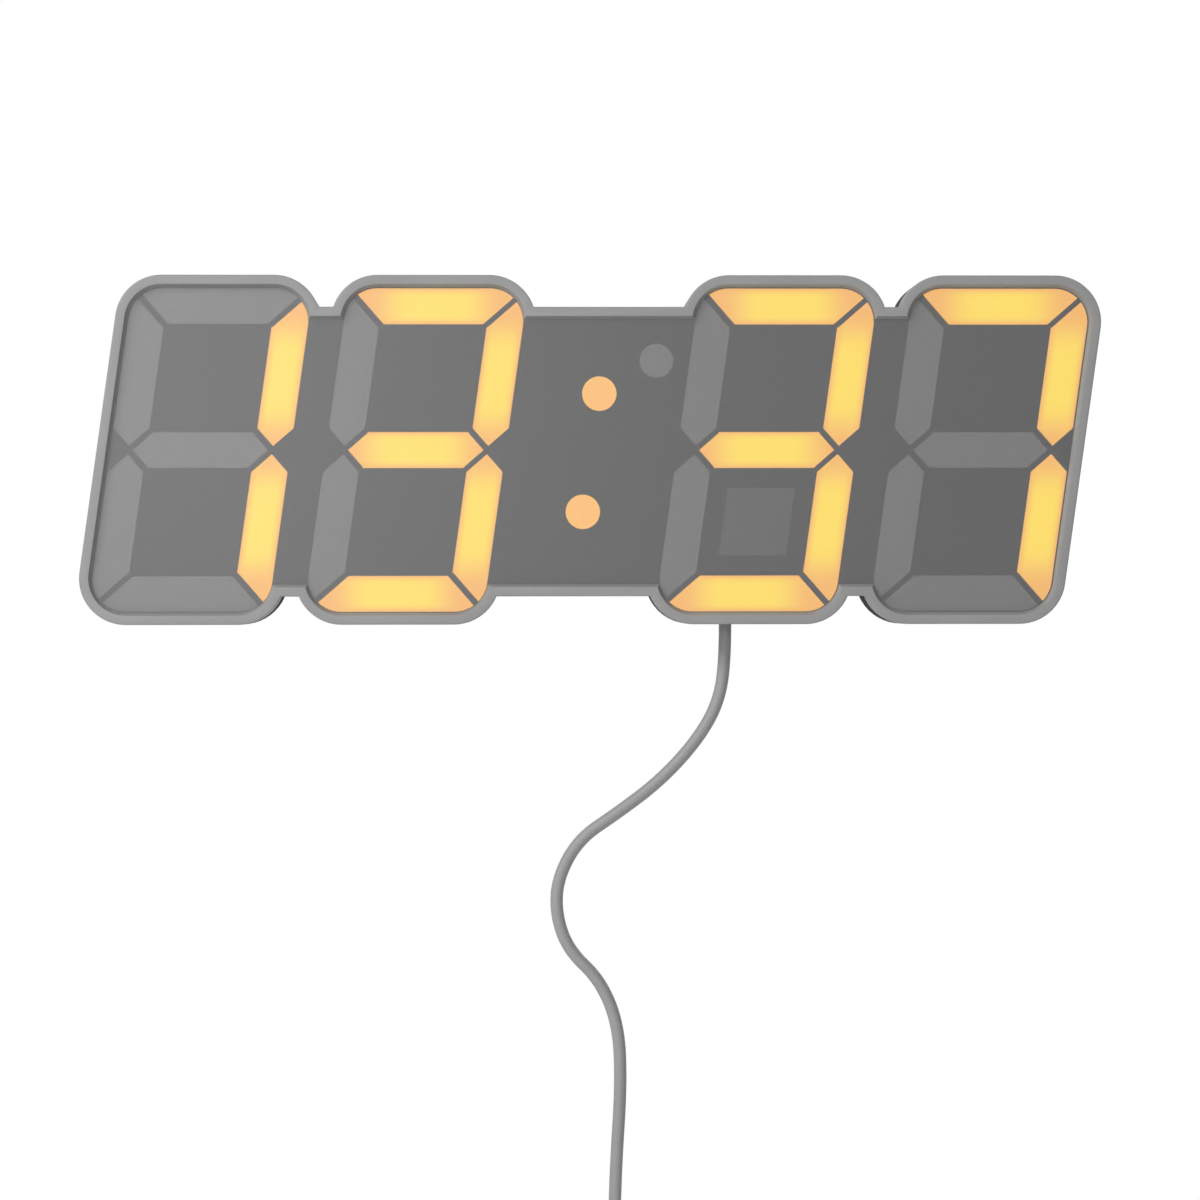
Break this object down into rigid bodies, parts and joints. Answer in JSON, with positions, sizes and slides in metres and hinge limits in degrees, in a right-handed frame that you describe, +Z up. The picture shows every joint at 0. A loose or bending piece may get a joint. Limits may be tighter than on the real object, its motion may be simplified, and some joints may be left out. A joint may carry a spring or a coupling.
{
  "type": "led wall clock",
  "caption": "LED wall clock whose panel follows the outline of its slanted seven-segment digits, with a grey frame, smoke-grey window, black rear housing and low-voltage cord.",
  "frame": {"origin": "middle of the case on the wall plane, halfway up the digits", "axes": "+X to the right seen from the front, +Z up, the front faces -Y and the wall is the plane Y = 0"},
  "size_m": [0.36, 0.028, 0.4122],
  "materials": {
    "frame_abs": "fine-grained moulded ABS, light grey",
    "lens_acrylic": "smoke-grey matte acrylic",
    "mask_sheet": "dark printed sheet",
    "diffuser_milk": "milky polycarbonate",
    "sensor_acrylic": "dark translucent acrylic",
    "reflector_white": "white polypropylene",
    "circuit_board": "green solder mask",
    "led_package": "yellow phosphor in a white package",
    "shell_abs": "black grained ABS",
    "screw_steel": "zinc plated",
    "button_abs": "satin black ABS",
    "switch_body": "black nylon",
    "holder_nylon": "natural nylon",
    "cell_steel": "nickel-plated steel",
    "chip_epoxy": "black moulding compound",
    "can_aluminium": "plain aluminium can",
    "cord_jacket": "grey soft PVC",
    "tie_plastic": "black nylon strap",
    "plug_metal": "nickel-plated steel",
    "plug_insert": "white insulator"
  },
  "bodies": {
    "clock": {"front_frame": "frame_abs", "front_lens": "lens_acrylic", "segment_mask": "mask_sheet", "digit_1_diffusers": "diffuser_milk", "digit_2_diffusers": "diffuser_milk", "digit_3_diffusers": "diffuser_milk", "digit_4_diffusers": "diffuser_milk", "colon_diffusers": "diffuser_milk", "degree_diffuser": "diffuser_milk", "sensor_window": "sensor_acrylic", "digit_1_reflector": "reflector_white", "digit_2_reflector": "reflector_white", "digit_3_reflector": "reflector_white", "digit_4_reflector": "reflector_white", "centre_reflector": "reflector_white", "display_board": "circuit_board", "segment_leds": "led_package", "rear_shell": "shell_abs", "case_screws": "screw_steel", "button_switches": "switch_body", "coin_cell_holder": "holder_nylon", "lead_socket": "holder_nylon", "coin_cell": "cell_steel", "controller_chip": "chip_epoxy", "clock_chip": "chip_epoxy", "left_driver_chip": "chip_epoxy", "right_driver_chip": "chip_epoxy", "buzzer": "chip_epoxy", "voltage_regulator": "chip_epoxy", "temperature_sensor": "chip_epoxy", "infrared_receiver": "chip_epoxy", "light_sensor": "chip_epoxy", "filter_capacitors": "can_aluminium", "clock_crystal": "can_aluminium", "strain_relief": "cord_jacket", "supply_leads": "cord_jacket", "cord": "cord_jacket", "cord_coil": "cord_jacket", "plug_grip": "cord_jacket", "cord_tie": "tie_plastic", "plug_shell": "plug_metal", "plug_tongue": "plug_insert"},
    "down_button": {"down_button": "button_abs"},
    "up_button": {"up_button": "button_abs"},
    "mode_button": {"mode_button": "button_abs"},
    "set_button": {"set_button": "button_abs"},
    "battery_cap": {"battery_cap": "button_abs"}
  },
  "joints": [
    {"name": "down_button_press", "type": "slide", "parent": "clock", "child": "down_button", "axis": [0, -1, 0], "range_m": [0, 0.0005], "stiffness_N_per_m": 400, "springref_m": -0.0005},
    {"name": "up_button_press", "type": "slide", "parent": "clock", "child": "up_button", "axis": [0, -1, 0], "range_m": [0, 0.0005], "stiffness_N_per_m": 400, "springref_m": -0.0005},
    {"name": "mode_button_press", "type": "slide", "parent": "clock", "child": "mode_button", "axis": [0, -1, 0], "range_m": [0, 0.0005], "stiffness_N_per_m": 400, "springref_m": -0.0005},
    {"name": "set_button_press", "type": "slide", "parent": "clock", "child": "set_button", "axis": [0, -1, 0], "range_m": [0, 0.0005], "stiffness_N_per_m": 400, "springref_m": -0.0005},
    {"name": "battery_cap_turn", "type": "hinge", "parent": "clock", "child": "battery_cap", "pos_m": [-0.018, 0, -0.026], "axis": [0, 1, 0], "range_deg": [0, 60]}
  ]
}
